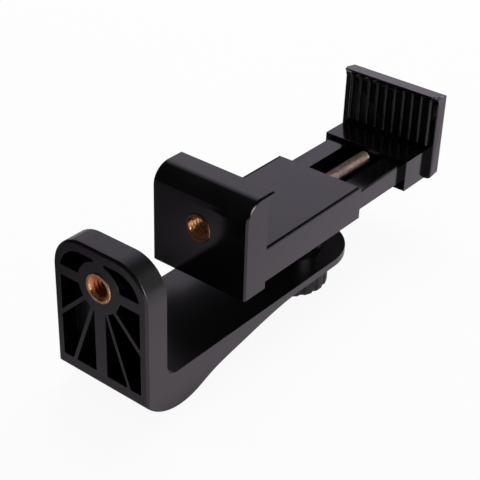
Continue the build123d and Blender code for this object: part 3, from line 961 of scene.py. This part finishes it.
@dataclass
class RibbedPad:
    """Rubber pad with rounded upright ribs that bend into the hollow under the jaw's lip."""

    node: str
    body: Body
    face_x: float
    inward: int
    bottom: float
    lip_root: float
    lip_hollow: float
    lip_reach: float
    rib_top: float = 10.6
    top: float = 8.5
    width: float = 31.0
    thickness: float = 1.0
    corner: float = 2.0
    corner_steps: int = 6
    soft_edge: float = 0.15
    # Half width and half height that the soft edge is scaled in from.
    half_size: tuple[float, float] = (15.0, 7.0)
    ribs: int = 10
    side_gap: float = 1.1
    rib_width: float = 1.1
    rib_height: float = 0.85
    rib_margin: float = 0.25
    rib_sides: int = 16
    rib_rows: int = 28
    # Least value of the squared taper, so that a rib's tips don't shrink to a point.
    rib_tip: float = 0.002
    smooth_degrees: float = 40.0

    def recipe(self) -> Recipe:
        """Build the tree that sets rounded ribs side by side on the pad.

        Returns:
            The finished tree.
        """
        made = Recipe("ribs on pad", {
            "Count": NodeInput.COUNT, "Pitch": NodeInput.LENGTH, "Rib Length": NodeInput.LENGTH,
            "Rib Width": NodeInput.LENGTH, "Rib Height": NodeInput.LENGTH, "Face X": NodeInput.LENGTH,
            "Middle Z": NodeInput.LENGTH, "Lip Root Z": NodeInput.LENGTH, "Lip Hollow": NodeInput.LENGTH,
            "Lip Reach": NodeInput.LENGTH})
        tree, given = made.tree, made.given
        capsule = add_node(tree, "GeometryNodeMeshCylinder", {"fill_type": "TRIANGLE_FAN"}, {
            "Vertices": self.rib_sides, "Side Segments": self.rib_rows, "Radius": 1.0, "Depth": 2.0})
        place = add_node(tree, "ShaderNodeSeparateXYZ", inputs={
            0: add_node(tree, "GeometryNodeInputPosition").outputs["Position"]}).outputs
        end_share = made.math("DIVIDE", given["Rib Width"], given["Rib Length"])
        inner = made.math("SUBTRACT", 1.0, end_share)
        past = made.math("MAXIMUM", made.math("SUBTRACT", made.math("ABSOLUTE", place["Z"]), inner), 0.0)
        bow = made.math("POWER", made.math("DIVIDE", past, end_share), 2.0)
        taper = made.math("SQRT", made.math("MAXIMUM", made.math("SUBTRACT", 1.0, bow), self.rib_tip))
        across = made.math("MULTIPLY", made.math("MULTIPLY", place["Y"], taper),
                           made.math("MULTIPLY", given["Rib Width"], 0.5))
        proud = made.math("MULTIPLY", made.math("MULTIPLY", place["X"], taper), given["Rib Height"])
        tall = made.math("MULTIPLY", place["Z"], made.math("MULTIPLY", given["Rib Length"], 0.5))
        above = made.math("SUBTRACT", made.math("ADD", tall, given["Middle Z"]), given["Lip Root Z"])
        rise = made.math("MAXIMUM", made.math("DIVIDE", above, given["Lip Hollow"]), 0.0)
        level = made.math("SQRT", made.math("SUBTRACT", 1.0, made.math("POWER", rise, 2.0)))
        lean = made.math("MULTIPLY", made.math("SUBTRACT", 1.0, level), given["Lip Reach"])
        rib = add_node(tree, "GeometryNodeSetPosition", inputs={
            "Geometry": capsule.outputs["Mesh"],
            "Position": add_node(tree, "ShaderNodeCombineXYZ", inputs={
                "X": made.math("ADD", proud, lean), "Y": across, "Z": tall}).outputs["Vector"]})
        last = made.math("MULTIPLY", made.math("SUBTRACT", given["Count"], 1.0), given["Pitch"])
        start = add_node(tree, "ShaderNodeCombineXYZ", inputs={
            "X": given["Face X"], "Y": made.math("MULTIPLY", last, -0.5), "Z": given["Middle Z"]})
        step = add_node(tree, "ShaderNodeCombineXYZ", inputs={"Y": given["Pitch"]})
        line = add_node(tree, "GeometryNodeMeshLine", inputs={
            "Count": given["Count"], "Start Location": start.outputs["Vector"],
            "Offset": step.outputs["Vector"]})
        row = add_node(tree, "GeometryNodeInstanceOnPoints", inputs={
            "Points": line.outputs["Mesh"], "Instance": rib.outputs["Geometry"]})
        both = add_node(tree, "GeometryNodeJoinGeometry")
        tree.links.new(row.outputs["Instances"], both.inputs["Geometry"])
        tree.links.new(given["Geometry"], both.inputs["Geometry"])
        made.end(both.outputs["Geometry"])
        return made

    def slab(self) -> bmesh.types.BMesh:
        """Build the pad's slab, with round corners and a soft front edge.

        Returns:
            Geometry in metres.
        """
        shape = bmesh.new()
        outline = []
        middle = (self.top + self.bottom) / 2
        across = self.width / 2 - self.corner
        upright = (self.top - self.bottom) / 2 - self.corner
        for side, up, start in ((1, 1, 0), (-1, 1, 90), (-1, -1, 180), (1, -1, 270)):
            for step in range(self.corner_steps + 1):
                angle = math.radians(start + 90 * step / self.corner_steps)
                outline.append((side * across + self.corner * math.cos(angle),
                                up * upright + self.corner * math.sin(angle)))
        rows = []
        for depth, inset in ((self.thickness, 0.0), (self.soft_edge, 0.0), (0.0, self.soft_edge)):
            x = self.face_x + self.inward * depth
            narrower, lower = (1 - inset / half for half in self.half_size)
            rows.append([Vector((x, y * narrower, middle + z * lower)) * MILLIMETRE for y, z in outline])
        grid_surface(shape, rows, closed_rows=False)
        return shape

    def build(self) -> bpy.types.Object:
        """Build the pad and let it stand for its node.

        Returns:
            The finished piece.
        """
        piece = new_piece(f"{self.node}_ribbed", self.slab())
        self.recipe().run(piece, {
            "Count": self.ribs,
            "Pitch": (self.width - 2 * self.side_gap) / (self.ribs - 1) * MILLIMETRE,
            "Rib Length": (self.rib_top - self.bottom - self.rib_margin) * MILLIMETRE,
            "Rib Width": self.rib_width * MILLIMETRE,
            "Rib Height": self.rib_height * MILLIMETRE,
            "Face X": self.face_x * MILLIMETRE,
            "Middle Z": (self.rib_top + self.bottom + self.rib_margin) / 2 * MILLIMETRE,
            "Lip Root Z": self.lip_root * MILLIMETRE,
            "Lip Hollow": self.lip_hollow * MILLIMETRE,
            "Lip Reach": self.lip_reach * MILLIMETRE,
        }, PAD_RUBBER)
        smooth_by_angle(piece.data, self.smooth_degrees)
        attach(piece, self.body.value)
        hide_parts(self.node)
        LOG.info("%s: %d faces", piece.name, len(piece.data.polygons))
        return piece


@dataclass(frozen=True)
class Panel:
    """A soft round panel that shows in glossy surfaces, full within one angle and gone past another."""

    towards: tuple[float, float, float]
    inner_degrees: float
    outer_degrees: float
    strength: float
    tone: str


@dataclass(frozen=True)
class Shade:
    """A darker part of the floor, seen in glossy surfaces, past a soft line in Y and maybe one in X."""

    from_y_mm: tuple[float, float]
    tone: str
    # Without a line in X the shade starts at the floor's far edge.
    from_x_mm: tuple[float, float] = (-3000.0, -2900.0)


@dataclass
class Studio:
    """Camera, floor, white surround and lamp.

    Glossy surfaces mirror the shades and panels; the camera sees plain white.
    """

    floor_z_mm: float = -37.0
    floor_half_m: float = 3.0
    # Share of plain white in the floor that the camera sees; the rest is lit paper with its shadow.
    floor_white: float = 0.93
    paper_tone: str = "F4F4F4"
    floor_tone: str = "F0E4F0"
    ambient_tone: str = "303032"
    diffuse_level: float = 0.35
    key_watts: float = 4.5
    key_side_m: float = 0.5
    key_place_m: tuple[float, float, float] = (0.45, 0.2, 0.75)
    key_aim_m: tuple[float, float, float] = (0.06, 0.0, 0.0)
    shades: tuple[Shade, ...] = (
        Shade((-24.0, -12.0), "A098A0"),
        Shade((22.0, 58.0), "665E66"),
        Shade((18.0, 34.0), "5A545A", (-10.0, 14.0)),
        Shade((-12.0, 10.0), "4A464A", (50.0, 75.0)),
    )
    shade_end_mm: tuple[float, float] = (92.0, 118.0)
    panels: tuple[Panel, ...] = (
        Panel((0.73, 0.49, 0.47), 0.0, 36.0, 0.8, "F8ECFF"),
        Panel((0.89, 0.44, 0.07), 8.0, 20.0, 0.12, "F8ECFF"),
        Panel((0.9, -0.3, 0.28), 6.0, 17.0, 6.0, "FFFFFF"),
        Panel((0.0, -0.96, 0.25), 6.0, 23.0, 12.0, "FFFFFF"),
    )
    lens_mm: float = 92.12
    clip_m: tuple[float, float] = (0.01, 50.0)
    camera_m: tuple[float, float, float] = (-0.17381, -0.17976, 0.17087)
    camera_right: tuple[float, float, float] = (0.6305, -0.77568, 0.02799)
    camera_up: tuple[float, float, float] = (0.39776, 0.35387, 0.8465)
    camera_back: tuple[float, float, float] = (-0.66652, -0.52259, 0.53165)

    def camera(self) -> None:
        """Set the camera where the photograph was taken from."""
        data = bpy.data.cameras.new("camera")
        data.lens = self.lens_mm
        data.clip_start, data.clip_end = self.clip_m
        camera = bpy.data.objects.new("camera", data)
        bpy.context.scene.collection.objects.link(camera)
        turn = Matrix((self.camera_right, self.camera_up, self.camera_back)).transposed()
        camera.matrix_world = Matrix.Translation(self.camera_m) @ turn.to_4x4()
        bpy.context.scene.camera = camera

    def floor(self) -> None:
        """Lay a plain pale floor that the camera sees as white with a faint shadow."""
        shape = bmesh.new()
        bmesh.ops.create_grid(shape, x_segments=1, y_segments=1, size=self.floor_half_m,
                              matrix=Matrix.Translation((0, 0, self.floor_z_mm * MILLIMETRE)))
        floor = new_piece("floor", shape)
        material = bpy.data.materials.new("paper_floor")
        material.use_nodes = True
        tree = material.node_tree
        tree.nodes.clear()
        seen = add_node(tree, "ShaderNodeLightPath")
        matt = add_node(tree, "ShaderNodeBsdfDiffuse", inputs={"Color": linear(self.paper_tone)})
        white = add_node(tree, "ShaderNodeEmission", inputs={"Color": linear("FFFFFF"), "Strength": 1.0})
        share = add_node(tree, "ShaderNodeMath", {"operation": "MULTIPLY"}, {
            0: seen.outputs["Is Camera Ray"], 1: self.floor_white})
        shown = add_node(tree, "ShaderNodeMixShader", inputs={
            0: share.outputs["Value"], 1: matt.outputs["BSDF"], 2: white.outputs["Emission"]})
        place = add_node(tree, "ShaderNodeSeparateXYZ", inputs={
            0: add_node(tree, "ShaderNodeTexCoord").outputs["Object"]}).outputs
        near = add_node(tree, "ShaderNodeMapRange", {"interpolation_type": "SMOOTHSTEP"}, {
            "Value": place["X"], "From Min": self.shade_end_mm[0] * MILLIMETRE,
            "From Max": self.shade_end_mm[1] * MILLIMETRE, "To Min": 1.0, "To Max": 0.0})
        tone = linear(self.floor_tone)
        for shade in self.shades:
            behind = add_node(tree, "ShaderNodeMapRange", {"interpolation_type": "SMOOTHSTEP"}, {
                "Value": place["Y"], "From Min": shade.from_y_mm[0] * MILLIMETRE,
                "From Max": shade.from_y_mm[1] * MILLIMETRE, "To Max": near.outputs["Result"]})
            share = add_node(tree, "ShaderNodeMapRange", {"interpolation_type": "SMOOTHSTEP"}, {
                "Value": place["X"], "From Min": shade.from_x_mm[0] * MILLIMETRE,
                "From Max": shade.from_x_mm[1] * MILLIMETRE, "To Max": behind.outputs["Result"]})
            tone = add_node(tree, "ShaderNodeMix", {"data_type": "RGBA"}, {
                0: share.outputs["Result"], 6: tone, 7: linear(shade.tone)}).outputs[2]
        mirrored = add_node(tree, "ShaderNodeEmission", inputs={"Color": tone, "Strength": 1.0})
        mix = add_node(tree, "ShaderNodeMixShader", inputs={
            0: seen.outputs["Is Glossy Ray"], 1: shown.outputs["Shader"], 2: mirrored.outputs["Emission"]})
        add_node(tree, "ShaderNodeOutputMaterial", inputs={"Surface": mix.outputs["Shader"]})
        material.cycles.emission_sampling = "NONE"
        floor.data.materials.append(material)

    def world(self) -> None:
        """Make a white surround with soft panels that only reflections see."""
        world = bpy.data.worlds.new("studio")
        world.use_nodes = True
        tree = world.node_tree
        tree.nodes.clear()
        look = add_node(tree, "ShaderNodeTexCoord").outputs["Generated"]
        total = linear(self.ambient_tone)[:3]
        for panel in self.panels:
            facing = add_node(tree, "ShaderNodeVectorMath", {"operation": "DOT_PRODUCT"}, {
                0: look, 1: Vector(panel.towards).normalized()})
            glow = add_node(tree, "ShaderNodeMapRange", {"interpolation_type": "SMOOTHSTEP"}, {
                "Value": facing.outputs["Value"], "From Min": math.cos(math.radians(panel.outer_degrees)),
                "From Max": math.cos(math.radians(panel.inner_degrees)), "To Max": panel.strength})
            tinted = add_node(tree, "ShaderNodeVectorMath", {"operation": "SCALE"}, {
                0: linear(panel.tone)[:3], "Scale": glow.outputs["Result"]})
            total = add_node(tree, "ShaderNodeVectorMath", {"operation": "ADD"}, {
                0: total, 1: tinted.outputs["Vector"]}).outputs["Vector"]
        seen = add_node(tree, "ShaderNodeLightPath")
        shown = add_node(tree, "ShaderNodeMath", {"operation": "MAXIMUM"}, {
            0: seen.outputs["Is Camera Ray"], 1: seen.outputs["Is Transmission Ray"]})
        level = add_node(tree, "ShaderNodeMapRange", inputs={
            "Value": shown.outputs["Value"], "To Min": self.diffuse_level, "To Max": 1.0})
        plain = add_node(tree, "ShaderNodeBackground", inputs={
            "Color": linear("FFFFFF"), "Strength": level.outputs["Result"]})
        mirrored = add_node(tree, "ShaderNodeBackground", inputs={"Color": total, "Strength": 1.0})
        mix = add_node(tree, "ShaderNodeMixShader", inputs={
            0: seen.outputs["Is Glossy Ray"], 1: plain.outputs["Background"],
            2: mirrored.outputs["Background"]})
        add_node(tree, "ShaderNodeOutputWorld", inputs={"Surface": mix.outputs["Shader"]})
        world.cycles.sampling_method = "NONE"
        bpy.context.scene.world = world

    def key_lamp(self) -> None:
        """Hang one soft square lamp that faces the object and shows in no reflection."""
        data = bpy.data.lights.new("key", "AREA")
        data.shape = "SQUARE"
        data.size = self.key_side_m
        data.energy = self.key_watts
        lamp = bpy.data.objects.new("key", data)
        lamp.location = self.key_place_m
        lamp.rotation_mode = "QUATERNION"
        towards = Vector(self.key_aim_m) - Vector(self.key_place_m)
        lamp.rotation_quaternion = towards.to_track_quat("-Z", "Y")
        lamp.visible_glossy = False
        bpy.context.scene.collection.objects.link(lamp)

    def build(self) -> None:
        """Build the whole studio."""
        bpy.context.scene.view_settings.view_transform = "Standard"
        self.camera()
        self.floor()
        self.world()
        self.key_lamp()
        LOG.info("studio: camera, floor, world and lamp")


def dress_nodes() -> None:
    """Give the CAD nodes that stay visible their materials."""
    plain: dict[str, tuple[Finish, Slot]] = {
        "friction_washer": (WASHER_RUBBER, Slot.RUBBER),
        "body_spring_pin": (DARK_STEEL, Slot.STEEL),
        "jaw_spring_pin": (DARK_STEEL, Slot.STEEL),
        "travel_stop_pin": (ZINC_STEEL, Slot.STEEL),
        "knob_washer": (ZINC_STEEL, Slot.STEEL),
    }
    for node, (finish, slot) in plain.items():
        dress(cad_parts[node], finish)
        LOG.info("%s: %s", node, finish.name)


def main() -> None:
    """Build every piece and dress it."""
    logging.basicConfig(level=logging.INFO, format="%(message)s")
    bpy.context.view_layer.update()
    Studio().build()
    dress_nodes()
    Moulding("bracket", Body.BRACKET, ABS_BRACKET, Slot.MOULDING).build()
    Moulding("clamp_body", Body.CLAMP, ABS, Slot.MOULDING).build()
    Moulding("top_cover", Body.CLAMP, ABS, Slot.MOULDING, edge_radius_mm=0.15, changes=(
        SeamSlope(chamfer=0.3, edge_y=-14.61, top_z=-5.5, width=0.9, depth=0.68),)).build()
    Moulding("sliding_jaw", Body.JAW, ABS, Slot.MOULDING, changes=(
        RoundedEnd(radius=2.0, flat_from_x=131.2, flat_half_y=15.1, flat_z=(-30.0, 30.0)),
        RoundedEnd(radius=1.0, flat_from_x=118.3, flat_half_y=14.15, flat_z=(-16.0, -7.9)))).build()
    ThreadedBush("bracket_insert", Body.BRACKET, FOOT_BRASS,
                 mouth_mm=(0, 0, 0), inward=(1, 0, 0), length=6.2).build()
    ThreadedBush("jaw_insert", Body.CLAMP, JAW_BRASS,
                 mouth_mm=JAW_THREAD_MM, inward=(1, 0, 0), length=7.5).build()
    ThreadedBush("swivel_insert", Body.CLAMP, SWIVEL_BRASS,
                 mouth_mm=(KNOB_AXIS_X_MM, 0, -22.65), inward=(0, 0, 1), length=6.4).build()
    FlutedKnob().build()
    KnobScrew().build()
    TensionSpring().build()
    RibbedPad("fixed_pad", Body.CLAMP, face_x=46.1, inward=-1, bottom=-5.0,
              lip_root=8.8, lip_hollow=3.5, lip_reach=2.6).build()
    RibbedPad("moving_pad", Body.JAW, face_x=129.2, inward=1, bottom=-6.4,
              lip_root=8.6, lip_hollow=2.8, lip_reach=-2.3).build()


if __name__ == "__main__":
    main()
